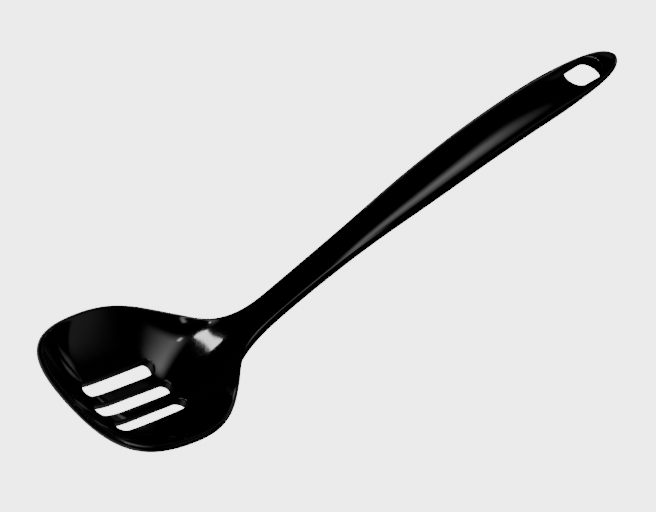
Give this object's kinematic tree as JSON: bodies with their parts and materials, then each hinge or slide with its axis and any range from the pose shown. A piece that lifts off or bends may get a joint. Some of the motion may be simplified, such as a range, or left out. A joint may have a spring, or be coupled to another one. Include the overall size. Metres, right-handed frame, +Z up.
{
  "type": "slotted serving spoon",
  "caption": "Glossy black slotted serving spoon moulded in one, with a deep rounded bowl, a bent neck and an arched handle that broadens to an end with a hanging hole.",
  "frame": {"origin": "middle of the spoon's footprint on the table that it lies on", "axes": "+X from the bowl to the hanging end, +Y to the left when looking along +X, +Z up"},
  "size_m": [0.3048, 0.076, 0.0561],
  "materials": {
    "moulding": "gloss black, moulded"
  },
  "bodies": {
    "root": {"bowl": "moulding", "rim": "moulding", "neck": "moulding", "stem": "moulding", "grip": "moulding", "hanging_end": "moulding"}
  },
  "joints": []
}
